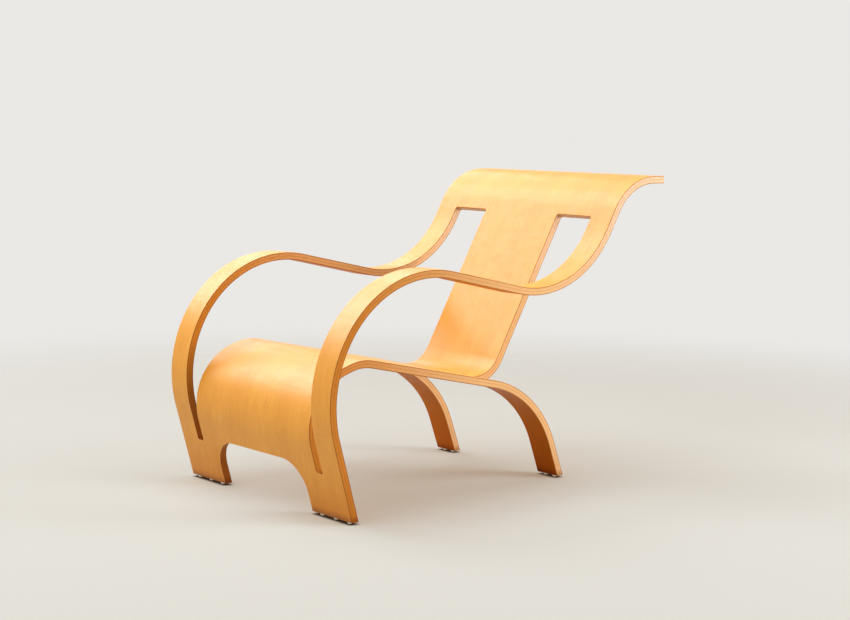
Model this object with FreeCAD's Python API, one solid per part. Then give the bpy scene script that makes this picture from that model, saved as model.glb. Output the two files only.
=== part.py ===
import FreeCAD, Part
import math
import os

# A low lounge chair made of one sheet of laminated birch, slit lengthwise and bent in a mould.
# Every veneer of the laminate is a solid of its own and runs unbroken through the front apron,
# both arms, the seat, both rear legs, the back splat and the crest. Small nail-on metal glides
# hold the four feet off the floor.
#
# Millimetres and degrees. +X is the sitter's left, the chair faces -Y, +Z is up. The origin is on
# the floor in the middle of the chair's outline. Sizes along Y are measured backwards from the
# toe, the line where the apron's outer face would meet the floor. All side-view sizes lie on the
# show face: the apron's outside, the top of the arms and seat, and the front of the back.

# Across the chair
overall_width = 605.0
arm_width = 65.0
slot_width = 22.0
rear_leg_width = 66.0
back_width = 250.0

# The sheet, the length that each foot has spare before it is sawn off level, and the length
# under which a cut has no straight edge
sheet_thickness = 17.2
veneer_count = 13
glue_line = 0.05
foot_spare = 25.0
shortest_edge = 0.001

# The front apron, whose two feet stand either side of an arch
apron_lean = 15.8
arch_width = 332.0
arch_height = 114.5
arch_corner = 70.0
slot_bottom = 101.5
slot_corner = 4.0

# The arms: two bends up from the apron, a sloping rest, and one bend up into the back
arm_root_run = 249.0
arm_root_bend = 265.0
arm_front_y = 11.5
arm_front_z = 561.0
arm_front_bend = 265.0
arm_rear_drop = 312.0
arm_rear_bend = 243.0

# The seat
seat_root_run = 282.0
seat_root_bend = 134.0
seat_front_y = 87.5
seat_front_z = 326.0
seat_front_bend = 118.0
seat_rear_y = 523.5
seat_rear_z = 234.0
seat_rear_bend = 72.0

# The back splat and the crest that rolls over to the rear
crest_y = 783.0
crest_z = 700.0
crest_bend = 146.0
crest_end_y = 903.0
window_drop = 106.0
window_corner = 5.0

# The rear legs, slit from the back splat
rear_toe_y = 682.0
rear_leg_lean = 20.2
rear_leg_bend = 253.0
kerf_lead = 2.0

# The nail-on glides
glide_height = 5.0
glide_head_radius = 5.0
glide_edge_height = 3.2
glide_pad_radius = 2.5
glide_dome_bulge = 0.5
nail_radius = 1.0
nail_length = 9.0
nail_point = 2.0
front_glides = 3
front_glide_outer_inset = 18.0
front_glide_inner_inset = 24.5
rear_glides = 2
rear_glide_outer_inset = 18.0
rear_glide_inner_inset = 18.0

half_width = overall_width / 2
arm_inner = half_width - arm_width
seat_half = arm_inner - slot_width
leg_inner = seat_half - rear_leg_width
back_half = back_width / 2
arch_half = arch_width / 2
x_axis = FreeCAD.Vector(1, 0, 0)
up = FreeCAD.Vector(0, 0, 1)


def point(y, z):
    """A point of the side view."""
    return FreeCAD.Vector(0, y, z)


def heading(start, end):
    """The unit direction from one point to another."""
    return (end - start).normalize()


def behind(direction):
    """The direction that leads into the sheet, for someone who walks along its show face."""
    return FreeCAD.Vector(0, direction.z, -direction.y)


def turn_at(before, corner, after):
    """How far the walk turns at a corner, in radians; a turn to the left is positive."""
    way_in = heading(before, corner)
    way_out = heading(corner, after)
    return math.atan2(way_in.cross(way_out).x, way_in.dot(way_out))


def bend_reaches(corners, radii):
    """How far each bend reaches along the runs beside it, kept within those runs."""
    reaches = [0.0]
    for index, radius in enumerate(radii, start=1):
        turn = turn_at(*corners[index - 1:index + 2])
        reaches.append(radius * math.tan(abs(turn) / 2))
    reaches.append(0.0)
    for index in range(len(corners) - 1):
        wanted = reaches[index] + reaches[index + 1]
        run = 0.99 * (corners[index + 1] - corners[index]).Length
        if wanted > run:
            reaches[index] *= run / wanted
            reaches[index + 1] *= run / wanted
    return reaches


def skin(corners, radii, depth):
    """The edges of a route at a depth below the show face: straight runs joined by arcs."""
    reaches = bend_reaches(corners, radii)
    edges = []
    here = corners[0] + behind(heading(corners[0], corners[1])) * depth
    for index in range(1, len(corners) - 1):
        corner = corners[index]
        way_in = heading(corners[index - 1], corner)
        way_out = heading(corner, corners[index + 1])
        turn = turn_at(*corners[index - 1:index + 2])
        start = corner - way_in * reaches[index]
        end = corner + way_out * reaches[index]
        radius = reaches[index] / math.tan(abs(turn) / 2)
        side = -1 if turn > 0 else 1
        centre = start + behind(way_in) * radius * side
        bend_start = start + behind(way_in) * depth
        bend_middle = centre + heading(centre, corner) * (radius - side * depth)
        bend_end = end + behind(way_out) * depth
        edges.append(Part.LineSegment(here, bend_start).toShape())
        edges.append(Part.Arc(bend_start, bend_middle, bend_end).toShape())
        here = bend_end
    last = corners[-1] + behind(heading(corners[-2], corners[-1])) * depth
    edges.append(Part.LineSegment(here, last).toShape())
    return edges


def strip(corners, radii, near, far, low, high):
    """One strip of a veneer between two depths and two places across the chair."""
    front = skin(corners, radii, near)
    back = skin(corners, radii, far)
    first = Part.LineSegment(back[0].firstVertex().Point, front[0].firstVertex().Point).toShape()
    last = Part.LineSegment(front[-1].lastVertex().Point, back[-1].lastVertex().Point).toShape()
    outline = Part.Wire(front + [last] + back[::-1] + [first])
    face = Part.Face(outline)
    face.translate(x_axis * low)
    return face.extrude(x_axis * (high - low))


def notch(end, direction, low, high, corner, straight=1.0):
    """A cutter through the sheet: a slot whose closed end has rounded corners."""
    radius = min(corner, (high - low) / 2)
    length = radius + straight
    diagonal = radius * math.sqrt(0.5)
    reach = 3 * sheet_thickness

    def place(x, run):
        return end + direction * run + x_axis * x

    left_arc = Part.Arc(
        place(low, radius),
        place(low + radius - diagonal, radius - diagonal),
        place(low + radius, 0),
    )
    right_arc = Part.Arc(
        place(high - radius, 0),
        place(high - radius + diagonal, radius - diagonal),
        place(high, radius),
    )
    edges = [Part.LineSegment(place(low, length), place(low, radius)), left_arc]
    if high - low > 2 * radius + shortest_edge:
        edges.append(Part.LineSegment(place(low + radius, 0), place(high - radius, 0)))
    edges.append(right_arc)
    edges.append(Part.LineSegment(place(high, radius), place(high, length)))
    edges.append(Part.LineSegment(place(high, length), place(low, length)))
    face = Part.Face(Part.Wire([edge.toShape() for edge in edges]))
    face.translate(behind(direction) * -reach)
    return face.extrude(behind(direction) * 2 * reach)


def crossing(start, direction, other, other_direction):
    """Where two lines of the side view meet."""
    gap = other - start
    run = gap.cross(other_direction).x / direction.cross(other_direction).x
    return start + direction * run


# The corners of the side view, where the straight runs would meet without their bends
lean = math.radians(apron_lean)
rear_lean = math.radians(rear_leg_lean)
toe = point(0, 0)
apron_rise = point(-math.sin(lean), math.cos(lean))
arm_root = toe + apron_rise * arm_root_run
arm_front = point(arm_front_y, arm_front_z)
seat_root = toe + apron_rise * seat_root_run
seat_front = point(seat_front_y, seat_front_z)
seat_rear = point(seat_rear_y, seat_rear_z)
seat_run = heading(seat_front, seat_rear)
crest = point(crest_y, crest_z)
crest_end = point(crest_end_y, crest_z)
back_rise = heading(seat_rear, crest)
arm_rear = crest - back_rise * arm_rear_drop
rear_toe = point(rear_toe_y, 0)
rear_leg_fall = point(math.sin(rear_lean), -math.cos(rear_lean))
rear_leg_root = crossing(seat_front, seat_run, rear_toe, rear_leg_fall)

# The stations where the sheet is slit into strips, each on a straight run
slot_station = toe + apron_rise * (slot_bottom + slot_corner)
window_station = crest - back_rise * (window_drop + window_corner)
leg_bend_reach = rear_leg_bend * math.tan(
    abs(turn_at(seat_front, rear_leg_root, rear_toe)) / 2
)
back_bend_reach = seat_rear_bend * math.tan(abs(turn_at(seat_front, seat_rear, crest)) / 2)
kerf_run = min(
    (rear_leg_root - seat_front).Length - leg_bend_reach,
    (seat_rear - seat_front).Length - back_bend_reach,
) - kerf_lead
kerf_station = seat_front + seat_run * kerf_run
kerf_width = leg_inner - back_half

# Each zone of the sheet: its corners, its bends, and the strips that it has across the chair
zones = [
    ([toe - apron_rise * foot_spare, slot_station], [], [(-half_width, half_width)]),
    (
        [slot_station, arm_root, arm_front, arm_rear, window_station],
        [arm_root_bend, arm_front_bend, arm_rear_bend],
        [(-half_width, -arm_inner), (arm_inner, half_width)],
    ),
    (
        [slot_station, seat_root, seat_front, kerf_station],
        [seat_root_bend, seat_front_bend],
        [(-seat_half, seat_half)],
    ),
    (
        [kerf_station, rear_leg_root, rear_toe + rear_leg_fall * foot_spare],
        [rear_leg_bend],
        [(-seat_half, -leg_inner), (leg_inner, seat_half)],
    ),
    (
        [kerf_station, seat_rear, window_station],
        [seat_rear_bend],
        [(-back_half, back_half)],
    ),
    (
        [window_station, crest, crest_end],
        [crest_bend],
        [(-half_width, half_width)],
    ),
]


def openings():
    """Cutters for the arch and for the closed ends of the slots, kerfs and windows."""
    arch_top = toe + apron_rise * arch_height
    slot_end = toe + apron_rise * slot_bottom
    window_top = crest - back_rise * window_drop
    kerf_end = kerf_station - seat_run * kerf_width / 2
    cutters = [notch(arch_top, apron_rise * -1, -arch_half, arch_half, arch_corner, arch_height)]
    for side in (-1, 1):
        slot = sorted([side * seat_half, side * arm_inner])
        window = sorted([side * back_half, side * arm_inner])
        kerf = sorted([side * back_half, side * leg_inner])
        cutters.append(notch(slot_end, apron_rise, *slot, slot_corner))
        cutters.append(notch(window_top, back_rise * -1, *window, window_corner))
        cutters.append(notch(kerf_end, seat_run, *kerf, kerf_width / 2))
    return cutters


def floor_cut():
    """Everything below the feet, which are sawn off level at the glides' height."""
    size = 4 * overall_width
    block = Part.makeBox(size, size, size)
    block.translate(FreeCAD.Vector(-size / 2, -size / 2, glide_height - size))
    return block


def nail(place):
    """The pointed shank of a glide, standing up from its head."""
    shank = Part.makeCylinder(nail_radius, nail_length - nail_point, place + up * glide_height)
    tip_base = place + up * (glide_height + nail_length - nail_point)
    return shank.fuse(Part.makeCone(nail_radius, 0, nail_point, tip_base))


def glide(place):
    """A glide: a domed metal head, flat where it meets the foot and the floor, and its nail."""
    rim = FreeCAD.Vector(glide_head_radius, 0, glide_edge_height)
    pad = FreeCAD.Vector(glide_pad_radius, 0, 0)
    bulge = (rim + pad) * 0.5 + FreeCAD.Vector(1, 0, -1) * glide_dome_bulge
    head_rim = FreeCAD.Vector(glide_head_radius, 0, glide_height)
    head_top = up * glide_height
    edges = [
        Part.LineSegment(FreeCAD.Vector(), pad),
        Part.Arc(pad, bulge, rim),
        Part.LineSegment(rim, head_rim),
        Part.LineSegment(head_rim, head_top),
        Part.LineSegment(head_top, FreeCAD.Vector()),
    ]
    section = Part.Face(Part.Wire([edge.toShape() for edge in edges]))
    head = section.revolve(FreeCAD.Vector(), up, 360)
    head.translate(place)
    return head.fuse(nail(place)).removeSplitter()


def glide_places():
    """The name and place of every glide, spread evenly along each foot, in mid-thickness."""
    front_y = -glide_height * math.tan(lean) + sheet_thickness / math.cos(lean) / 2
    rear_y = rear_toe_y - glide_height * math.tan(rear_lean)
    rear_y -= sheet_thickness / math.cos(rear_lean) / 2
    front_outer = half_width - front_glide_outer_inset
    front_inner = arch_half + front_glide_inner_inset
    rear_outer = seat_half - rear_glide_outer_inset
    rear_inner = leg_inner + rear_glide_inner_inset
    feet = [
        ("front", front_y, front_outer, front_inner, front_glides),
        ("rear", rear_y, rear_outer, rear_inner, rear_glides),
    ]
    places = {}
    for end, y, outer, inner, count in feet:
        pitch = (outer - inner) / max(count - 1, 1)
        for side, sign in (("left", 1), ("right", -1)):
            for number in range(count):
                x = sign * (outer - number * pitch)
                places[f"glide_{end}_{side}_{number + 1}"] = FreeCAD.Vector(x, y, 0)
    return places


def developed_length(corners, radii):
    """The length of a route in the flat, before the sheet is bent."""
    return sum(edge.Length for edge in skin(corners, radii, 0))


def veneer(near, far, cutters):
    """One veneer of the laminate, between two depths below the show face."""
    strips = []
    for corners, radii, spans in zones:
        for low, high in spans:
            strips.append(strip(corners, radii, near, far, low, high))
    sheet = strips[0].multiFuse(strips[1:])
    return sheet.cut(cutters).removeSplitter().Solids[0]


def veneer_name(number):
    """Outer veneers are named by their side, inner ones by the way their grain runs."""
    if number == 1:
        return "veneer_01_face"
    if number == veneer_count:
        return f"veneer_{number:02d}_back"
    grain = "long" if number % 2 else "cross"
    return f"veneer_{number:02d}_{grain}"


places = glide_places()
cutters = openings() + [floor_cut()] + [nail(place) for place in places.values()]
veneer_thickness = (sheet_thickness - (veneer_count - 1) * glue_line) / veneer_count
nodes = {}
for number in range(1, veneer_count + 1):
    near = (number - 1) * (veneer_thickness + glue_line)
    nodes[veneer_name(number)] = veneer(near, near + veneer_thickness, cutters)
for name, place in places.items():
    nodes[name] = glide(place)

outline = Part.makeCompound(list(nodes.values())).optimalBoundingBox()
centring = point(-(outline.YMin + outline.YMax) / 2, 0)

os.makedirs("parts", exist_ok=True)
for name, shape in nodes.items():
    shape.translate(centring)
    shape.exportStep(f"parts/{name}.step")
    print(f"{name} volume {shape.Volume / 1000:.2f} cm3 valid {shape.isValid()}")
print(f"width {outline.XLength:.2f} depth {outline.YLength:.2f} height {outline.ZMax:.2f}")
print(f"toe line at y {centring.y:.3f}")

# One flat sheet can only be bent so if both ways from the slots' ends to the crest are as long
arm_length = developed_length(*zones[1][:2])
seat_length = developed_length(*zones[2][:2]) + developed_length(*zones[4][:2])
print(f"by the arm {arm_length:.2f}, by the seat and back {seat_length:.2f}")
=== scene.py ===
import math

import bmesh
import bpy
import numpy as np
from mathutils import Matrix, Vector


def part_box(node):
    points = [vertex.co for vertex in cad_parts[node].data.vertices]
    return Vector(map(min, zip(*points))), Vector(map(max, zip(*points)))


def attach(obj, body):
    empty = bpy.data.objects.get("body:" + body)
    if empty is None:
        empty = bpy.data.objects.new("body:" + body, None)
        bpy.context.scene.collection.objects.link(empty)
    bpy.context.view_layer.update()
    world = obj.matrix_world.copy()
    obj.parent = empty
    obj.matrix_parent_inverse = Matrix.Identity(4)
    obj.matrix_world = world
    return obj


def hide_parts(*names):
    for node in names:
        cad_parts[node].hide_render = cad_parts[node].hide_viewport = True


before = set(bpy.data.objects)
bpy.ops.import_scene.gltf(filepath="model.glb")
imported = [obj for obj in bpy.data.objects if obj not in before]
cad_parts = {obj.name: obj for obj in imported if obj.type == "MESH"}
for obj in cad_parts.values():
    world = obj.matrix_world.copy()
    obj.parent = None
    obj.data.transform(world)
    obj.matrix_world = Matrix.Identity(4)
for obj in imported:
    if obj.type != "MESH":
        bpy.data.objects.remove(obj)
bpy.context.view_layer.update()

# The face veneer, which the sitter sees and touches: one unbroken leaf of rotary-cut birch.
# It is slit in the flat like the veneers below it, glued over them in a bending mould, cut out,
# rounded along its arrises by hand and lacquered clear and satin.
overall_width = 0.605
arm_width = 0.065
slot_width = 0.022
rear_leg_width = 0.066
back_width = 0.25
sheet_thickness = 0.0172
veneer_count = 13
glue_line = 0.00005
glide_height = 0.005

# The front apron with its arch, and the slots that start in it
apron_lean = math.radians(15.8)
arch_width = 0.332
arch_height = 0.1145
arch_corner = 0.07
slot_bottom = 0.1015
slot_corner = 0.004
apron_top = 0.125

# The arms: how far up the apron's line they turn off, then the corners and bends of their side view
arm_root_run = 0.249
arm_root_bend = 0.265
arm_front_y = 0.0115
arm_front_z = 0.561
arm_front_bend = 0.265
arm_rear_drop = 0.312
arm_rear_bend = 0.243

# The seat, given in the same way
seat_root_run = 0.282
seat_root_bend = 0.134
seat_front_y = 0.0875
seat_front_z = 0.326
seat_front_bend = 0.118
seat_rear_y = 0.5235
seat_rear_z = 0.234
seat_rear_bend = 0.072

# The crest, and the windows below it
crest_y = 0.783
crest_z = 0.7
crest_bend = 0.146
crest_end_y = 0.903
window_drop = 0.106
window_corner = 0.005

# The rear legs, and the kerfs that part them from the back
rear_toe_y = 0.682
rear_leg_lean = math.radians(20.2)
rear_leg_bend = 0.253
kerf_lead = 0.002

# The eased corners of the outline, and the arrises of the cut edge
outer_corner = 0.0015
face_arris = 0.0009
hidden_arris = 0.00005
arris_steps = 3

half_width = overall_width / 2
arm_inner = half_width - arm_width
seat_half = arm_inner - slot_width
leg_inner = seat_half - rear_leg_width
back_half = back_width / 2
arch_half = arch_width / 2
veneer_thickness = (sheet_thickness - (veneer_count - 1) * glue_line) / veneer_count

# The corners of the side view, in Y behind the toe line and in Z
toe = Vector((0.0, 0.0))
apron_rise = Vector((-math.sin(apron_lean), math.cos(apron_lean)))
slot_station = toe + apron_rise * apron_top
arm_root = toe + apron_rise * arm_root_run
arm_front = Vector((arm_front_y, arm_front_z))
seat_root = toe + apron_rise * seat_root_run
seat_front = Vector((seat_front_y, seat_front_z))
seat_rear = Vector((seat_rear_y, seat_rear_z))
crest = Vector((crest_y, crest_z))
crest_end = Vector((crest_end_y, crest_z))
seat_run = (seat_rear - seat_front).normalized()
back_rise = (crest - seat_rear).normalized()
arm_rear = crest - back_rise * arm_rear_drop
window_station = crest - back_rise * (window_drop + window_corner)
rear_toe = Vector((rear_toe_y, 0.0))
leg_fall = Vector((math.sin(rear_leg_lean), -math.cos(rear_leg_lean)))
to_rear_leg = (rear_toe - seat_front).cross(leg_fall) / seat_run.cross(leg_fall)
leg_root = seat_front + seat_run * to_rear_leg


def turn_at(before, corner, after):
    """How far a walk along the show face turns at a corner; a turn upwards is positive."""
    way_in = corner - before
    way_out = after - corner
    return math.atan2(way_in.cross(way_out), way_in.dot(way_out))


def straight_run(before, corner, after, radius):
    """How far the walk to a corner stays straight before the bend there starts."""
    return (corner - before).length - radius * math.tan(abs(turn_at(before, corner, after)) / 2)


leg_start = straight_run(seat_front, leg_root, rear_toe, rear_leg_bend)
back_start = straight_run(seat_front, seat_rear, crest, seat_rear_bend)
kerf_station = seat_front + seat_run * (min(leg_start, back_start) - kerf_lead)


def lay_route(corners, bends):
    """A side view of the show face as stretches: length, starting point, slope and curvature."""
    stretches = []
    here = corners[0]
    reach_before = 0.0
    for before, corner, after, radius in zip(corners, corners[1:], corners[2:], bends):
        way_in = corner - before
        turn = turn_at(before, corner, after)
        reach = radius * math.tan(abs(turn) / 2)
        slope = math.atan2(way_in.y, way_in.x)
        stretches.append((way_in.length - reach_before - reach, here, slope, 0.0))
        bend_start = corner - way_in.normalized() * reach
        curvature = math.copysign(1 / radius, turn)
        stretches.append((radius * abs(turn), bend_start, slope, curvature))
        here = corner + (after - corner).normalized() * reach
        reach_before = reach
    last = corners[-1] - corners[-2]
    stretches.append((last.length - reach_before, here, math.atan2(last.y, last.x), 0.0))
    return stretches


def route_length(route):
    """How long a route is along the show face."""
    return sum(stretch[0] for stretch in route)


def locate(route, run, depth):
    """Y, Z and slope at runs along a route and at depths below the show face."""
    lengths = np.array([stretch[0] for stretch in route])
    starts = np.concatenate(([0.0], np.cumsum(lengths)[:-1]))
    index = np.clip(np.searchsorted(starts, run, side="right") - 1, 0, len(route) - 1)
    past = run - starts[index]
    first_y = np.array([stretch[1].x for stretch in route])[index]
    first_z = np.array([stretch[1].y for stretch in route])[index]
    first_slope = np.array([stretch[2] for stretch in route])[index]
    curvature = np.array([stretch[3] for stretch in route])[index]
    slope = first_slope + curvature * past
    straight = curvature == 0.0
    bend = np.where(straight, 1.0, curvature)
    along_y = np.where(straight, past * np.cos(slope), (np.sin(slope) - np.sin(first_slope)) / bend)
    along_z = np.where(straight, past * np.sin(slope), (np.cos(first_slope) - np.cos(slope)) / bend)
    y = first_y + along_y + np.sin(slope) * depth
    z = first_z + along_z - np.cos(slope) * depth
    return y, z, slope


apron_route = lay_route([toe, slot_station], [])
arm_route = lay_route(
    [slot_station, arm_root, arm_front, arm_rear, window_station],
    [arm_root_bend, arm_front_bend, arm_rear_bend],
)
seat_route = lay_route(
    [slot_station, seat_root, seat_front, kerf_station], [seat_root_bend, seat_front_bend]
)
leg_route = lay_route([kerf_station, leg_root, rear_toe], [rear_leg_bend])
back_route = lay_route([kerf_station, seat_rear, window_station], [seat_rear_bend])
crest_route = lay_route([window_station, crest, crest_end], [crest_bend])

# Where each zone of the flat sheet starts, and how much its route is eased to close at the crest
seat_end = apron_top + route_length(seat_route)
arms_end = apron_top + route_length(arm_route)
back_ease = (arms_end - seat_end) / route_length(back_route)
front_foot = glide_height / math.cos(apron_lean)
rear_foot = route_length(leg_route) - glide_height / math.cos(rear_leg_lean)
crest_top = route_length(crest_route)


def strip_outline(low, high, length, end_corner=0.0):
    """A plain strip of the flat sheet, with its far corners eased."""
    return [(low, 0.0, 0.0), (high, 0.0, 0.0), (high, length, end_corner), (low, length, end_corner)]


def both_sides(corners):
    """An outline given from its middle out on the right side, closed by its mirror image."""
    return corners + [(-across, along, radius) for across, along, radius in reversed(corners)]


kerf_round = (leg_inner - back_half) / 2
seat_top = route_length(seat_route)
apron_outline = both_sides([
    (arch_half, arch_height, arch_corner),
    (arch_half, front_foot, outer_corner),
    (half_width, front_foot, outer_corner),
    (half_width, apron_top, 0.0),
    (arm_inner, apron_top, 0.0),
    (arm_inner, slot_bottom, slot_corner),
    (seat_half, slot_bottom, slot_corner),
    (seat_half, apron_top, 0.0),
])
seat_outline = both_sides([
    (seat_half, 0.0, 0.0),
    (seat_half, seat_top, 0.0),
    (leg_inner, seat_top, 0.0),
    (leg_inner, seat_top - kerf_round, kerf_round),
    (back_half, seat_top - kerf_round, kerf_round),
    (back_half, seat_top, 0.0),
])
crest_outline = both_sides([
    (back_half, 0.0, 0.0),
    (back_half, window_corner, window_corner),
    (arm_inner, window_corner, window_corner),
    (arm_inner, 0.0, 0.0),
    (half_width, 0.0, 0.0),
    (half_width, crest_top, outer_corner),
])
zones = [
    (apron_route, 0.0, 1.0, [apron_outline]),
    (arm_route, apron_top, 1.0, [
        strip_outline(arm_inner, half_width, arms_end - apron_top),
        strip_outline(-half_width, -arm_inner, arms_end - apron_top),
    ]),
    (seat_route, apron_top, 1.0, [seat_outline]),
    (leg_route, seat_end, 1.0, [
        strip_outline(leg_inner, seat_half, rear_foot, outer_corner),
        strip_outline(-seat_half, -leg_inner, rear_foot, outer_corner),
    ]),
    (back_route, seat_end, back_ease, [
        strip_outline(-back_half, back_half, route_length(back_route)),
    ]),
    (crest_route, arms_end, 1.0, [crest_outline]),
]

# How finely the sheet is divided, and how near points count as one
chord_tolerance = 0.00002
column_pitch = 0.045
flat_row_pitch = 0.02
bend_row_turn = math.radians(2.0)
same_point = 0.000001
point_digits = 6


def rounded_outline(corners):
    """The points of an outline whose square corners are rounded by arcs."""
    points = []
    for index, (across, along, radius) in enumerate(corners):
        corner = Vector((across, along))
        back_way = (Vector(corners[index - 1][:2]) - corner).normalized()
        on_way = (Vector(corners[(index + 1) % len(corners)][:2]) - corner).normalized()
        steps = 0
        if radius > 0.0:
            steps = math.ceil(math.pi / 4 / math.acos(1 - chord_tolerance / radius))
        for step in range(steps + 1):
            angle = math.pi / 2 * step / max(steps, 1)
            centre = corner + (back_way + on_way) * radius
            place = centre - on_way * radius * math.cos(angle) - back_way * radius * math.sin(angle)
            if not points or (place - points[-1]).length > same_point:
                points.append(place)
    if (points[0] - points[-1]).length < same_point:
        points.pop()
    return points


def rows_of(route):
    """Where a route is divided along its length: finely in its bends."""
    rows = []
    start = 0.0
    for length, _, _, curvature in route:
        count = math.ceil(max(length / flat_row_pitch, length * abs(curvature) / bend_row_turn))
        rows += [start + length * step / count for step in range(count + 1)]
        start += length
    return rows


def cut_leaf(corners, route):
    """One outline of the flat sheet as a mesh, divided in columns and in its route's rows."""
    leaf = bmesh.new()
    leaf.faces.new([leaf.verts.new((*place, 0.0)) for place in rounded_outline(corners)])
    last_column = math.floor(half_width / column_pitch)
    cuts = [((column_pitch * step, 0, 0), (1, 0, 0)) for step in range(-last_column, last_column + 1)]
    cuts += [((0, row, 0), (0, 1, 0)) for row in rows_of(route)]
    for place, direction in cuts:
        every = leaf.verts[:] + leaf.edges[:] + leaf.faces[:]
        bmesh.ops.bisect_plane(leaf, geom=every, dist=same_point, plane_co=place, plane_no=direction)
    leaf.normal_update()
    return leaf


def cut_pattern():
    """The flat sheet, cut out and divided: points (across, along, zone) and faces."""
    points = []
    faces = []
    known = {}
    for number, (route, start, ease, outlines) in enumerate(zones):
        for corners in outlines:
            leaf = cut_leaf(corners, route)
            for face in leaf.faces:
                ring = [(vert.co.x, start + vert.co.y * ease) for vert in face.verts]
                if face.normal.z < 0:
                    ring.reverse()
                marks = []
                for across, along in ring:
                    key = (round(across, point_digits), round(along, point_digits))
                    if key not in known:
                        known[key] = len(points)
                        points.append((across, along, number))
                    marks.append(known[key])
                faces.append(marks)
            leaf.free()
    return np.array(points), faces


def rim_of(points, faces):
    """The sheet's cut edges, and the way out of the sheet at every point on them."""
    sides = set()
    for face in faces:
        sides.update(zip(face, face[1:] + face[:1]))
    rim = [(first, second) for first, second in sorted(sides) if (second, first) not in sides]
    outward = {}
    for first, second in rim:
        run = points[second, :2] - points[first, :2]
        normal = np.array([run[1], -run[0]]) / np.linalg.norm(run)
        outward.setdefault(first, []).append(normal)
        outward.setdefault(second, []).append(normal)
    for mark, normals in outward.items():
        total = normals[0] + normals[-1]
        outward[mark] = total / (1 + normals[0] @ normals[-1])
    return rim, outward


pattern_points, pattern_faces = cut_pattern()
pattern_rim, pattern_outward = rim_of(pattern_points, pattern_faces)
toe_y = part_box("veneer_01_face")[1][1] - crest_end_y

# How far from a foot's end its saw cut and corners reach, and what counts as facing that end
sawn_reach = outer_corner * 2
end_facing = 0.5


def veneer_layers(near, far, near_arris, far_arris):
    """Layers of points: their marks in the pattern, inset from the cut edge, depth and tilt."""
    every_mark = range(len(pattern_points))
    rim_marks = sorted(pattern_outward)
    layers = [(every_mark, near_arris, near, 0.0)]
    for step in range(1, arris_steps + 1):
        tilt = math.pi / 2 * step / arris_steps
        inset = near_arris * (1 - math.sin(tilt))
        layers.append((rim_marks, inset, near + near_arris * (1 - math.cos(tilt)), tilt))
    for step in range(arris_steps):
        tilt = math.pi / 2 * (1 + step / arris_steps)
        inset = far_arris * (1 - math.sin(tilt))
        layers.append((rim_marks, inset, far - far_arris * (1 + math.cos(tilt)), tilt))
    layers.append((every_mark, far_arris, far, math.pi))
    return layers


def bend_sheet(along, depths, zone_of):
    """Y, Z and slope of points: each zone is bent along its route, and the feet are sawn off level."""
    y, z, slope = np.zeros(len(along)), np.zeros(len(along)), np.zeros(len(along))
    for zone, (route, start, ease, _) in enumerate(zones):
        here = zone_of == zone
        run = (along[here] - start) / ease
        depth = depths[here]
        if route is apron_route:
            run = run - np.where(run < front_foot + sawn_reach, math.tan(apron_lean) * depth, 0)
        if route is leg_route:
            run = run - np.where(run > rear_foot - sawn_reach, math.tan(rear_leg_lean) * depth, 0)
        y[here], z[here], slope[here] = locate(route, run, depth)
    return y, z, slope


def veneer_faces(first_of):
    """A veneer's near leaf, the bands of its cut edge from layer to layer, and its far leaf."""
    rank = {mark: index for index, mark in enumerate(sorted(pattern_outward))}
    last = len(first_of) - 1
    faces = [list(face) for face in pattern_faces]
    for layer in range(last):
        for first, second in pattern_rim:
            quad = []
            for mark, level in ((second, layer), (first, layer), (first, layer + 1), (second, layer + 1)):
                quad.append(first_of[level] + (mark if level in (0, last) else rank[mark]))
            faces.append(quad)
    return faces + [[first_of[last] + mark for mark in reversed(face)] for face in pattern_faces]


def press_veneer(name, number, near_arris, far_arris):
    """One veneer bent to shape: its two leaves, and the cut edge between them with its arrises."""
    near = (number - 1) * (veneer_thickness + glue_line)
    across, along, depths, zone_of, normals, first_of = [], [], [], [], [], []
    for marks, inset, depth, tilt in veneer_layers(near, near + veneer_thickness, near_arris, far_arris):
        first_of.append(len(across))
        for mark in marks:
            out = pattern_outward.get(mark, np.zeros(2))
            across.append(pattern_points[mark, 0] - out[0] * inset)
            along.append(pattern_points[mark, 1] - out[1] * inset)
            depths.append(depth)
            zone_of.append(int(pattern_points[mark, 2]))
            normals.append((*(out * math.sin(tilt)), -math.cos(tilt)))
    across, along, depths = np.array(across), np.array(along), np.array(depths)
    zone_of, normals = np.array(zone_of), np.array(normals)
    y, z, slope = bend_sheet(along, depths, zone_of)

    # The sawn ends of the feet face the floor; every other way out turns with the sheet
    floor_side = (z < glide_height + near_arris) & (np.abs(normals[:, 1]) > end_facing)
    forward, below = np.cos(slope), np.sin(slope)
    normals[floor_side, 1] = -below[floor_side] * np.abs(normals[floor_side, 1])
    normals[floor_side, 2] += forward[floor_side]
    solid = np.stack([
        normals[:, 0],
        normals[:, 1] * forward + normals[:, 2] * below,
        normals[:, 1] * below - normals[:, 2] * forward,
    ], axis=1)
    solid /= np.linalg.norm(solid, axis=1)[:, None]

    faces = veneer_faces(first_of)
    mesh = bpy.data.meshes.new(name)
    mesh.from_pydata(np.stack([across, y + toe_y, z], axis=1).tolist(), [], faces)
    mesh.polygons.foreach_set("use_smooth", [True] * len(faces))
    mesh.normals_split_custom_set_from_vertices(solid.tolist())
    grain = mesh.attributes.new("grain", "FLOAT_VECTOR", "POINT")
    grain.data.foreach_set("vector", np.stack([across, along, depths], axis=1).astype(np.float32).ravel())
    side = mesh.attributes.new("side", "FLOAT_VECTOR", "POINT")
    side.data.foreach_set("vector", normals.astype(np.float32).ravel())
    piece = bpy.data.objects.new(name, mesh)
    bpy.context.scene.collection.objects.link(piece)
    return piece


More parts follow.
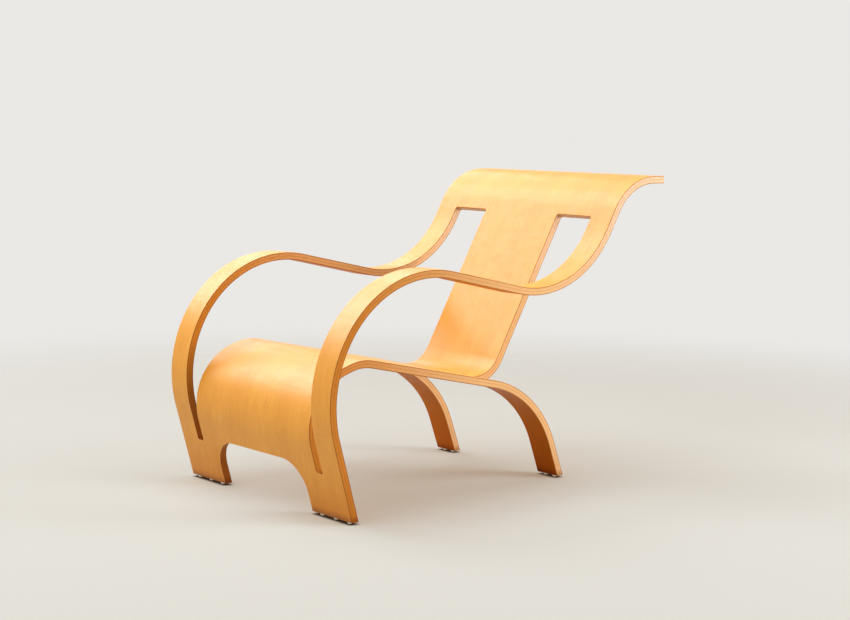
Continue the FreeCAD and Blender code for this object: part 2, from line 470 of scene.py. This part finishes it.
def add_node(tree, kind, inputs=None, **settings):
    """Adds a node, sets it, and fills its inputs with values or with other nodes' sockets."""
    made = tree.nodes.new(kind)
    for name, value in settings.items():
        setattr(made, name, value)
    for name, value in (inputs or {}).items():
        if isinstance(value, bpy.types.NodeSocket):
            tree.links.new(value, made.inputs[name])
        else:
            made.inputs[name].default_value = value
    return made


def math_node(tree, operation, *values, clamp=False):
    """One sum on values or sockets; returns its result."""
    made = add_node(tree, "ShaderNodeMath", dict(enumerate(values)), operation=operation)
    made.use_clamp = clamp
    return made.outputs[0]


def vector_node(tree, operation, *vectors):
    """One sum on vectors or sockets; returns its outputs, Vector and Value."""
    return add_node(tree, "ShaderNodeVectorMath", dict(enumerate(vectors)), operation=operation).outputs


def split(tree, vector):
    """The X, Y and Z of a vector."""
    return add_node(tree, "ShaderNodeSeparateXYZ", {0: vector}).outputs


def spread(tree, value, low, high, new_low=0.0, new_high=1.0):
    """Stretches a value from one range to another, with soft ends."""
    made = add_node(
        tree, "ShaderNodeMapRange",
        {"Value": value, "From Min": low, "From Max": high, "To Min": new_low, "To Max": new_high},
        interpolation_type="SMOOTHSTEP",
    )
    return made.outputs["Result"]


def stretched_noise(tree, place, scales, detail, roughness=0.5):
    """Noise with its own scale in each direction, in features per metre."""
    noise = add_node(tree, "ShaderNodeTexNoise", {
        "Vector": vector_node(tree, "MULTIPLY", place, scales)["Vector"],
        "Scale": 1.0,
        "Detail": detail,
        "Roughness": roughness,
    })
    return noise.outputs["Fac"]


def noise_shift(tree, place, scales, detail, width):
    """A shift to either side by noise, by half the width at most."""
    noise = stretched_noise(tree, place, scales, detail)
    return math_node(tree, "MULTIPLY", math_node(tree, "SUBTRACT", noise, 0.5), width)


def mix_color(tree, factor, first, second, blend="MIX"):
    """Mixes two colours, given as values or sockets."""
    made = add_node(tree, "ShaderNodeMix", {"Factor": factor}, data_type="RGBA", blend_type=blend)
    color_a, color_b, result = made.inputs[6], made.inputs[7], made.outputs[2]
    for socket, value in ((color_a, first), (color_b, second)):
        if isinstance(value, bpy.types.NodeSocket):
            tree.links.new(value, socket)
        else:
            socket.default_value = (*value, 1.0)
    return result


def tint(tree, factor, color, stain):
    """Multiplies a colour by a stain where the factor is 1, and leaves it where it is 0."""
    return mix_color(tree, factor, color, mix_color(tree, 1.0, color, stain, "MULTIPLY"))


def new_group(name, inputs, outputs):
    """A node group with named sockets, and the node that brings its inputs in."""
    group = bpy.data.node_groups.new(name, "ShaderNodeTree")
    for socket, kind in inputs.items():
        group.interface.new_socket(socket, in_out="INPUT", socket_type="NodeSocket" + kind)
    for socket, kind in outputs.items():
        group.interface.new_socket(socket, in_out="OUTPUT", socket_type="NodeSocket" + kind)
    return group, add_node(group, "NodeGroupInput")


# How fine the figure of the birch is, in features per metre across, along and down the grain
sway_scales = (4.0, 1.6, 0.0)
waver_scales = (30.0, 9.0, 0.0)
tone_scales = (14.0, 0.9, 0.0)
ring_scales = (4.5, 0.55, 0.0)
streak_scales = (320.0, 20.0, 60.0)
fibre_scales = (1500.0, 30.0, 500.0)
pore_scales = (2100.0, 85.0, 900.0)
ripple_scales = (26.0, 70.0, 0.0)

# How far it shifts, in metres and from leaf to leaf, and how strongly its lines and pores show
sway_width = 0.05
waver_width = 0.004
next_leaf_across = 1.37
next_leaf_along = 2.11
ring_lines = 150.0
ring_sharpness = 3.0
streak_roughness = 0.65
pore_start = 0.62
pore_full = 0.74
pore_depth = 1.5
noise_low = 0.3
noise_high = 0.7


def birch_figure():
    """The grain of birch as a node group: Place is across, along and down the grain in metres."""
    outputs = dict.fromkeys(("Tone", "Rings", "Streaks", "Pores", "Ripple", "Height"), "Float")
    group, given = new_group("birch figure", {"Place": "Vector", "Leaf": "Float"}, outputs)
    next_leaf = add_node(group, "ShaderNodeCombineXYZ", {
        "X": math_node(group, "MULTIPLY", given.outputs["Leaf"], next_leaf_across),
        "Y": math_node(group, "MULTIPLY", given.outputs["Leaf"], next_leaf_along),
    })
    own_place = vector_node(group, "ADD", given.outputs["Place"], next_leaf.outputs[0])["Vector"]
    sway = noise_shift(group, own_place, sway_scales, detail=2.0, width=sway_width)
    waver = noise_shift(group, own_place, waver_scales, detail=1.0, width=waver_width)
    sideways = add_node(group, "ShaderNodeCombineXYZ", {"X": math_node(group, "ADD", sway, waver)})
    place = vector_node(group, "ADD", own_place, sideways.outputs[0])["Vector"]
    tone = stretched_noise(group, place, tone_scales, detail=3.0)
    field = stretched_noise(group, place, ring_scales, detail=1.0)
    wave = math_node(group, "SINE", math_node(group, "MULTIPLY", field, ring_lines))
    rings = math_node(group, "POWER", math_node(group, "MULTIPLY_ADD", wave, 0.5, 0.5), ring_sharpness)
    streaks = stretched_noise(group, place, streak_scales, detail=4.0, roughness=streak_roughness)
    fibres = stretched_noise(group, place, fibre_scales, detail=2.0)
    pores = spread(group, stretched_noise(group, place, pore_scales, detail=1.0), pore_start, pore_full)
    ripple = stretched_noise(group, place, ripple_scales, detail=2.0)
    add_node(group, "NodeGroupOutput", {
        "Tone": spread(group, tone, noise_low, noise_high),
        "Rings": rings,
        "Streaks": spread(group, streaks, noise_low, noise_high),
        "Pores": pores,
        "Ripple": spread(group, ripple, noise_low, noise_high),
        "Height": math_node(group, "SUBTRACT", fibres, math_node(group, "MULTIPLY", pores, pore_depth)),
    })
    return group


# The cut edges' painted light, by metres along the sheet from the front toes: painted shade browns them
# towards the front, the seat's edges as if they lay a little further along, and darkens the slots' inner
# walls low down; a painted sheen pales them at the crest
edge_front_shade = (0.74, 0.455, 0.108)
front_shade_full = 0.40
front_shade_gone = 1.00
seat_shift = 0.20
slot_wall_shade = (0.58, 0.46, 0.20)
slot_shade_top = 0.28
edge_crest_sheen = (1.05, 1.18, 1.72)
crest_sheen_start = 0.95
crest_sheen_full = 1.30


def edge_painted_light():
    """Painted light on cut edges: shade towards the front and low in the slots, sheen at the crest."""
    inputs = {"Color": "Color", "Grain": "Vector", "Side": "Vector"}
    group, given = new_group("edge painted light", inputs, {"Color": "Color"})
    place = split(group, given.outputs["Grain"])
    facing = split(group, given.outputs["Side"])
    # Painted shade: the slots' inner walls darker low down, near the apron
    inward = math_node(group, "LESS_THAN", math_node(group, "MULTIPLY", facing["X"], place["X"]), 0.0)
    low = spread(group, place["Y"], apron_top, slot_shade_top, 1.0, 0.0)
    slot_shaded = math_node(group, "MULTIPLY", inward, low)
    color = tint(group, slot_shaded, given.outputs["Color"], slot_wall_shade)
    # Painted shade: edges browner towards the front
    across = math_node(group, "ABSOLUTE", place["X"])
    on_seat = math_node(group, "LESS_THAN", across, (seat_half + arm_inner) / 2)
    along = math_node(group, "MULTIPLY_ADD", on_seat, seat_shift, place["Y"])
    front_shaded = spread(group, along, front_shade_full, front_shade_gone, 1.0, 0.0)
    color = tint(group, front_shaded, color, edge_front_shade)
    # Painted sheen: edges paler and pinker towards the crest
    crest_sheened = spread(group, place["Y"], crest_sheen_start, crest_sheen_full)
    add_node(group, "NodeGroupOutput", {"Color": tint(group, crest_sheened, color, edge_crest_sheen)})
    return group


# Painted shade on the feet, warmer and darker towards the floor, by metres above the floor
foot_shade_tint = (0.92, 0.78, 0.45)
shade_tint_height = 0.14
foot_contact_shade = (0.50, 0.34, 0.12)
contact_shade_height = 0.024


def feet_painted_shade():
    """Painted shade: feet warmer and darker towards the floor."""
    inputs = {"Color": "Color", "Shade Tint": "Color", "Place": "Vector"}
    group, given = new_group("feet painted shade", inputs, {"Color": "Color"})
    level = split(group, given.outputs["Place"])["Z"]
    # Painted shade: a warm darkening towards the floor, and a stronger one just above it
    shade_tinted = spread(group, level, 0.0, shade_tint_height, 1.0, 0.0)
    color = tint(group, shade_tinted, given.outputs["Color"], given.outputs["Shade Tint"])
    contact_shaded = spread(group, level, 0.0, contact_shade_height, 1.0, 0.0)
    add_node(group, "NodeGroupOutput", {"Color": tint(group, contact_shaded, color, foot_contact_shade)})
    return group


figure = birch_figure()
edge_light_group = edge_painted_light()
feet_shade_group = feet_painted_shade()


def add_edge_light(tree, color, grain, side):
    """Places the edges' painted shade and painted sheen in a material."""
    given = {"Color": color, "Grain": grain, "Side": side}
    return add_node(tree, "ShaderNodeGroup", given, node_tree=edge_light_group).outputs["Color"]


def add_feet_shade(tree, color, shade_tint):
    """Places the feet's painted shade in a material."""
    place = add_node(tree, "ShaderNodeTexCoord").outputs["Object"]
    given = {"Color": color, "Shade Tint": (*shade_tint, 1.0), "Place": place}
    return add_node(tree, "ShaderNodeGroup", given, node_tree=feet_shade_group).outputs["Color"]


def new_material(name):
    """A material, its node tree and its shader."""
    material = bpy.data.materials.new(name)
    material.use_nodes = True
    return material, material.node_tree, material.node_tree.nodes["Principled BSDF"]


def read_mark(tree, name, output="Vector"):
    """What a veneer's mesh holds at each of its points."""
    return add_node(tree, "ShaderNodeAttribute", attribute_name=name).outputs[output]


def raise_grain(tree, shader, height, strength):
    """Raises the fibres and sinks the pores a little."""
    bump = add_node(
        tree, "ShaderNodeBump", {"Height": height, "Strength": strength, "Distance": grain_relief}
    )
    tree.links.new(bump.outputs[0], shader.inputs["Normal"])


face_pale = (0.76, 0.345, 0.040)
face_deep = (0.68, 0.285, 0.027)
face_streak = (0.58, 0.21, 0.016)
face_pore = (0.34, 0.10, 0.008)

# What the figure lays over the pale wood in turn: the mark, how much of it shows, and its colour
face_marks = (
    ("Tone", 0.8, face_deep),
    ("Streaks", 0.52, face_streak),
    ("Rings", 0.10, face_streak),
    ("Pores", 0.35, face_pore),
)
# White: the face gets no painted shade
face_shade_tint = (1.0, 1.0, 1.0)
face_roughness = 0.34
ripple_roughness = 0.08
face_polish = 0.4
face_relief = 0.25
grain_relief = 0.00008

# The cut edge's colours, and how far an arris still leans to the face where they start and are full
edge_deep = (0.65, 0.365, 0.17)
end_grain = (0.61, 0.30, 0.08)
rim_darkening = (0.46, 0.36, 0.28)
flank_start = 0.75
flank_full = 0.35


def face_birch(name, shade_tint, polish):
    """Lacquered birch as it shows on a face of the sheet and on that veneer's own cut edge."""
    material, tree, shader = new_material(name)
    grain = read_mark(tree, "grain")
    side = read_mark(tree, "side")
    leaf = math_node(tree, "GREATER_THAN", split(tree, grain)["Z"], sheet_thickness / 2)
    wood = add_node(tree, "ShaderNodeGroup", {"Place": grain, "Leaf": leaf}, node_tree=figure).outputs
    color = face_pale
    for mark, share, shade in face_marks:
        color = mix_color(tree, math_node(tree, "MULTIPLY", wood[mark], share), color, shade)
    # The leaf's painted shade: none on the face, darker and redder on the back
    color = mix_color(tree, 1.0, color, shade_tint, "MULTIPLY")

    # The cut edge and its arris: darker at the rim, and end grain where the sheet is cut across
    facing = split(tree, side)
    edge = mix_color(tree, wood["Streaks"], edge_deep, end_grain)
    # Painted light on the cut edge: shade towards the front and in the slots, sheen at the crest
    edge = mix_color(tree, 1.0, add_edge_light(tree, edge, grain, side), rim_darkening, "MULTIPLY")
    edge = mix_color(tree, math_node(tree, "ABSOLUTE", facing["Y"]), edge, end_grain)
    flank = spread(tree, math_node(tree, "ABSOLUTE", facing["Z"]), flank_full, flank_start, 1.0, 0.0)
    # Painted shade: darker and warmer towards the floor
    color = add_feet_shade(tree, mix_color(tree, flank, color, edge), foot_shade_tint)
    tree.links.new(color, shader.inputs["Base Color"])
    rough = math_node(tree, "MULTIPLY_ADD", wood["Ripple"], ripple_roughness, face_roughness)
    tree.links.new(rough, shader.inputs["Roughness"])
    raise_grain(tree, shader, wood["Height"], face_relief)
    shader.inputs["Specular IOR Level"].default_value = polish
    return material


face_veneer = press_veneer("face_veneer", 1, face_arris, hidden_arris)
face_veneer.data.materials.append(face_birch("face birch", face_shade_tint, face_polish))
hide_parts("veneer_01_face")
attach(face_veneer, "root")

# The long-grain core veneers: every second leaf inside the sheet, laid with its grain along the
# bends so that it carries the load. Only their edges show, as pale lines in the sheet's edge.
core_arris = 0.00006
core_pale = (0.77, 0.505, 0.295)
core_brown = (0.40, 0.17, 0.035)
# Painted shade on the core edges towards the floor
core_shade_tint = (0.86, 0.80, 0.72)
core_roughness = 0.45
core_polish = 0.2
core_relief = 0.3

# How fast the figure changes with depth, in leaves per metre, and the gaps left in the core
leaf_rate = 900.0
gap_scales = (90.0, 110.0, 700.0)
gap_start = 0.80
gap_full = 0.83


def core_birch(name, cross):
    """A core veneer's edge: grain lines along the leaf or end grain across it, and the odd gap."""
    material, tree, shader = new_material(name)
    grain = read_mark(tree, "grain")
    side = read_mark(tree, "side")
    place = split(tree, grain)
    with_grain, across_grain = ("X", "Y") if cross else ("Y", "X")
    turned = add_node(
        tree, "ShaderNodeCombineXYZ",
        {"X": place[across_grain], "Y": place[with_grain], "Z": place["Z"]},
    ).outputs[0]
    leaf = math_node(tree, "MULTIPLY", place["Z"], leaf_rate)
    wood = add_node(tree, "ShaderNodeGroup", {"Place": turned, "Leaf": leaf}, node_tree=figure).outputs
    ends = math_node(tree, "ABSOLUTE", split(tree, side)[with_grain])
    color = mix_color(tree, wood["Streaks"], core_pale, edge_deep)
    color = mix_color(tree, ends, color, end_grain)
    color = mix_color(tree, read_mark(tree, "leaf_brown", "Fac"), color, core_brown)
    gaps = spread(tree, stretched_noise(tree, grain, gap_scales, detail=1.0), gap_start, gap_full)
    color = mix_color(tree, gaps, color, face_pore)
    # Painted light on the edges, then painted shade towards the floor
    color = add_feet_shade(tree, add_edge_light(tree, color, grain, side), core_shade_tint)
    tree.links.new(color, shader.inputs["Base Color"])
    shader.inputs["Roughness"].default_value = core_roughness
    shader.inputs["Specular IOR Level"].default_value = core_polish
    raise_grain(tree, shader, wood["Height"], core_relief)
    return material


def set_brown(piece, brown):
    """How brown a core leaf is beside the others."""
    shade = piece.data.attributes.new("leaf_brown", "FLOAT", "POINT")
    shade.data.foreach_set("value", [brown] * len(piece.data.vertices))


# How brown each leaf is, by its number from the face
long_browns = {3: 0.12, 5: 0.0, 7: 0.42, 9: 0.0, 11: 0.05}
long_material = core_birch("long core birch", False)
for number, brown in long_browns.items():
    leaf = press_veneer(f"long_core_veneer_{number:02d}", number, core_arris, core_arris)
    leaf.data.materials.append(long_material)
    set_brown(leaf, brown)
    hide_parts(f"veneer_{number:02d}_long")
    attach(leaf, "root")

# The cross-grain core veneers: the leaves between, laid across to keep the sheet from splitting.
# Their end grain drinks the lacquer, so they show as the darker lines of the edge.
cross_browns = {2: 0.75, 4: 0.06, 6: 0.16, 8: 0.2, 10: 0.04, 12: 0.5}
cross_material = core_birch("cross core birch", True)
for number, brown in cross_browns.items():
    leaf = press_veneer(f"cross_core_veneer_{number:02d}", number, core_arris, core_arris)
    leaf.data.materials.append(cross_material)
    set_brown(leaf, brown)
    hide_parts(f"veneer_{number:02d}_cross")
    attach(leaf, "root")

# The back veneer: the same birch as the face, glued to the mould side of the sheet. It shows
# under the seat, inside the arms and behind the back. It is rounded like the face, and the lacquer
# is thinner and duller on it. Its colour is the face's, darkened and reddened as painted shade.
back_shade_tint = (0.82, 0.54, 0.20)
back_polish = 0.06
back_veneer = press_veneer("back_veneer", veneer_count, hidden_arris, face_arris)
back_veneer.data.materials.append(face_birch("back birch", back_shade_tint, back_polish))
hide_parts("veneer_13_back")
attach(back_veneer, "root")

# The nail-on glides that hold the feet off the floor: turned and plated steel heads, domed below,
# each driven into the sawn end of a foot by its own pointed nail.
head_radius = 0.005
head_edge = 0.0032
pad_radius = 0.0025
pad_flat = pad_radius * 0.8
pad_lip = 0.00002
dome_steps = 8
rim_round = 0.0004
rim_middle = rim_round * 0.3
nail_radius = 0.001
nail_length = 0.009
nail_point = 0.002
turned_sides = 48

plate_bright = (1.0, 0.98, 0.95)
plate_dull = (0.90, 0.87, 0.82)
plate_blotches = (400.0, 400.0, 400.0)
dull_start = 0.35
dull_full = 0.7
plate_scuffs = (2500.0, 700.0, 2500.0)
plate_roughness = 0.34
scuff_roughness = 0.5


def glide_profile():
    """Half of a glide's section, from the middle of its pad up to the nail's point."""
    profile = [(0.0, 0.0), (pad_flat, 0.0), (pad_radius, pad_lip)]
    for step in range(1, dome_steps + 1):
        angle = math.pi / 2 * step / dome_steps
        radius = pad_radius + (head_radius - pad_radius) * math.sin(angle)
        profile.append((radius, (head_edge - rim_round) * (1 - math.cos(angle)) + pad_lip))
    profile += [
        (head_radius, glide_height - rim_round),
        (head_radius - rim_middle, glide_height - rim_middle),
        (head_radius - rim_round, glide_height),
        (nail_radius, glide_height),
        (nail_radius, glide_height + nail_length - nail_point),
        (0.0, glide_height + nail_length),
    ]
    return profile


def turn_glide(name, middle):
    """A glide turned about its own axis."""
    shape = bmesh.new()
    rings = []
    for radius, level in glide_profile():
        if radius == 0.0:
            rings.append([shape.verts.new((middle.x, middle.y, level))])
            continue
        ring = []
        for step in range(turned_sides):
            angle = 2 * math.pi * step / turned_sides
            x = middle.x + radius * math.cos(angle)
            y = middle.y + radius * math.sin(angle)
            ring.append(shape.verts.new((x, y, level)))
        rings.append(ring)
    for lower, upper in zip(rings, rings[1:]):
        for step in range(turned_sides):
            after = (step + 1) % turned_sides
            if len(lower) == 1:
                shape.faces.new((lower[0], upper[after], upper[step]))
            elif len(upper) == 1:
                shape.faces.new((lower[step], lower[after], upper[0]))
            else:
                shape.faces.new((lower[step], lower[after], upper[after], upper[step]))
    mesh = bpy.data.meshes.new(name)
    shape.to_mesh(mesh)
    shape.free()
    mesh.polygons.foreach_set("use_smooth", [True] * len(mesh.polygons))
    return mesh


def plated_steel():
    """Worn nickel-plated steel, blotched, and scuffed front to back where it slides on the floor."""
    material, tree, shader = new_material("plated steel")
    place = add_node(tree, "ShaderNodeTexCoord").outputs["Object"]
    blotches = stretched_noise(tree, place, plate_blotches, detail=3.0)
    dull = spread(tree, blotches, dull_start, dull_full)
    tree.links.new(mix_color(tree, dull, plate_bright, plate_dull), shader.inputs["Base Color"])
    scuffs = stretched_noise(tree, place, plate_scuffs, detail=3.0)
    rough = spread(tree, scuffs, noise_low, noise_high, plate_roughness, scuff_roughness)
    tree.links.new(rough, shader.inputs["Roughness"])
    shader.inputs["Metallic"].default_value = 1.0
    return material


glide_material = plated_steel()
for node in sorted(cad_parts):
    if not node.startswith("glide_"):
        continue
    low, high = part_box(node)
    middle = (Vector(low) + Vector(high)) / 2
    mesh = turn_glide(node.replace("glide_", "nail_glide_"), middle)
    glide = bpy.data.objects.new(mesh.name, mesh)
    bpy.context.scene.collection.objects.link(glide)
    mesh.materials.append(glide_material)
    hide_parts(node)
    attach(glide, "root")

# The floor that the chair stands on: a plain pale sheet that fades into the backdrop. The camera and
# the glosses see it a little lifted, and only the camera sees the close shade under each foot.
floor_color = (0.49, 0.46, 0.38)
floor_seen = (0.385, 0.435, 0.455)
floor_lift = (0.92, 0.66, 0.40)
lift_share = 0.33
floor_roughness = 0.9
floor_polish = 0.1
floor_radius = 8.0
floor_sides = 96
fade_start = 1.2
fade_end = 3.0
shade_color = (0.055, 0.028, 0.014)
shade_reach = 0.016
shade_falloff = 2.0
shade_inset = 0.008
shade_depth = 0.006


def foot_shade(tree, place, glide, inner, outer):
    """How much a pair of feet shade the floor close around them."""
    parts = split(tree, place)
    mirrored = add_node(
        tree, "ShaderNodeCombineXYZ",
        {"X": math_node(tree, "ABSOLUTE", parts["X"]), "Y": parts["Y"]},
    ).outputs[0]
    glide_low, glide_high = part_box(glide)
    middle = ((inner + outer) / 2, (glide_low[1] + glide_high[1]) / 2, 0.0)
    shade_half = ((outer - inner) / 2 - shade_inset, shade_depth, 0.0)
    from_middle = vector_node(tree, "SUBTRACT", mirrored, middle)["Vector"]
    apart = vector_node(tree, "ABSOLUTE", from_middle)["Vector"]
    beyond = vector_node(tree, "SUBTRACT", apart, shade_half)["Vector"]
    outside = vector_node(tree, "MAXIMUM", beyond, (0.0, 0.0, 0.0))["Vector"]
    reach = vector_node(tree, "LENGTH", outside)["Value"]
    closeness = spread(tree, reach, 0.0, shade_reach, 1.0, 0.0)
    return math_node(tree, "POWER", closeness, shade_falloff)


def background_rays(tree):
    """Whether a ray that meets the background is seen by the camera, in a gloss or through glass."""
    ray = add_node(tree, "ShaderNodeLightPath")
    seen = math_node(tree, "ADD", ray.outputs["Is Camera Ray"], ray.outputs["Is Glossy Ray"], clamp=True)
    return math_node(tree, "ADD", seen, ray.outputs["Is Transmission Ray"], clamp=True)


disc = bmesh.new()
bmesh.ops.create_circle(disc, cap_ends=True, radius=floor_radius, segments=floor_sides)
floor_mesh = bpy.data.meshes.new("floor")
disc.to_mesh(floor_mesh)
disc.free()
floor = bpy.data.objects.new("floor", floor_mesh)
bpy.context.scene.collection.objects.link(floor)

floor_material, tree, shader = new_material("pale floor")
shader.inputs["Roughness"].default_value = floor_roughness
shader.inputs["Specular IOR Level"].default_value = floor_polish
place = add_node(tree, "ShaderNodeNewGeometry").outputs["Position"]
front_shade = foot_shade(tree, place, "glide_front_left_2", arch_half, half_width)
rear_shade = foot_shade(tree, place, "glide_rear_left_1", leg_inner, seat_half)
camera_ray = add_node(tree, "ShaderNodeLightPath").outputs["Is Camera Ray"]
shade = math_node(tree, "MULTIPLY", math_node(tree, "MAXIMUM", front_shade, rear_shade), camera_ray)
seen = background_rays(tree)
pale = mix_color(tree, seen, floor_color, floor_seen)
tree.links.new(mix_color(tree, shade, pale, shade_color), shader.inputs["Base Color"])
lift_color = mix_color(tree, shade, floor_lift, shade_color)
lift = add_node(tree, "ShaderNodeEmission", {"Color": lift_color, "Strength": 1.0})
share = math_node(tree, "MULTIPLY", seen, lift_share)
lifted = add_node(tree, "ShaderNodeMixShader", {0: share, 1: shader.outputs[0], 2: lift.outputs[0]})
fade = spread(tree, vector_node(tree, "LENGTH", place)["Value"], fade_start, fade_end)
clear = add_node(tree, "ShaderNodeBsdfTransparent")
blend = add_node(tree, "ShaderNodeMixShader", {0: fade, 1: lifted.outputs[0], 2: clear.outputs[0]})
tree.links.new(blend.outputs[0], tree.nodes["Material Output"].inputs["Surface"])
floor_mesh.materials.append(floor_material)

# The light: the camera and the glosses see a pale backdrop, in whose place a soft surround, brighter
# overhead, lights the chair. Six large soft lamps do the rest: one only shines, and one only lights.
backdrop_color = (0.823, 0.812, 0.783)
surround_low = 0.15
surround_high = 0.35
world = bpy.data.worlds.new("studio")
bpy.context.scene.world = world
world.use_nodes = True
tree = world.node_tree
backdrop = add_node(tree, "ShaderNodeBackground", {"Color": (*backdrop_color, 1.0), "Strength": 1.0})
toward = add_node(tree, "ShaderNodeTexCoord").outputs["Generated"]
strength = spread(tree, split(tree, toward)["Z"], 0.0, 1.0, surround_low, surround_high)
glow = add_node(tree, "ShaderNodeBackground", {"Color": (1.0, 1.0, 1.0, 1.0), "Strength": strength})
direct = background_rays(tree)
both = add_node(tree, "ShaderNodeMixShader", {0: direct, 1: glow.outputs[0], 2: backdrop.outputs[0]})
tree.links.new(both.outputs[0], tree.nodes["World Output"].inputs["Surface"])


def soft_lamp(name, place, aim, size, power, glow=True, shine=True):
    """A square soft lamp, turned to where it aims, that lights, shows in the gloss, or both."""
    light = bpy.data.lights.new(name, "AREA")
    light.size = size
    light.energy = power
    lamp = bpy.data.objects.new(name, light)
    lamp.location = place
    lamp.visible_camera = False
    lamp.visible_diffuse = glow
    lamp.visible_glossy = shine
    lamp.rotation_mode = "QUATERNION"
    lamp.rotation_quaternion = (Vector(aim) - Vector(place)).to_track_quat("-Z", "Y")
    bpy.context.scene.collection.objects.link(lamp)


# Each lamp: where it stands, where it aims, how wide it is in metres, and its power in watts
seat_middle = (0.0, 0.0, 0.4)
soft_lamp("overhead", (-0.4, 0.0, 3.2), (0.0, 0.0, 0.3), size=2.6, power=54.0)
soft_lamp("window", (-4.2, -1.45, 4.3), seat_middle, size=3.8, power=282.0)
soft_lamp("rear left", (-4.8, 2.0, 3.4), seat_middle, size=2.6, power=58.0, glow=False)
soft_lamp("rear right", (2.8, 2.66, 0.9), (0.2, 0.2, 0.4), size=1.7, power=160.0, shine=False)
soft_lamp("front", (-0.3, -3.05, 2.45), seat_middle, size=2.4, power=68.0)
soft_lamp("right", (2.4, 1.0, 2.6), seat_middle, size=2.0, power=45.0)

# The camera, at the photograph's viewpoint: where it stands and how it is turned were worked out
# from the chair's own outlines
image_width = 850
focal_pixels = 1682.129
azimuth = math.radians(50.3016)
elevation = math.radians(6.3617)
roll = math.radians(0.7351)
camera_distance = 3.9033
aim = Vector((-0.0147, 0.0257, 0.3841))

backward = Vector((
    math.sin(azimuth) * math.cos(elevation), -math.cos(azimuth) * math.cos(elevation), math.sin(elevation)
))
right = (-backward).cross(Vector((0, 0, 1))).normalized()
upward = right.cross(-backward)
turned_right = right * math.cos(roll) + upward * math.sin(roll)
turned_up = upward * math.cos(roll) - right * math.sin(roll)
camera_data = bpy.data.cameras.new("camera")
camera_data.sensor_width = 36.0
camera_data.lens = focal_pixels / image_width * camera_data.sensor_width
camera_data.clip_start = 0.1
camera_data.clip_end = 50.0
camera = bpy.data.objects.new("camera", camera_data)
camera.matrix_world = Matrix.Translation(aim + backward * camera_distance) @ Matrix(
    (turned_right, turned_up, backward)
).transposed().to_4x4()
bpy.context.scene.collection.objects.link(camera)
bpy.context.scene.camera = camera
bpy.context.scene.view_settings.view_transform = "Standard"
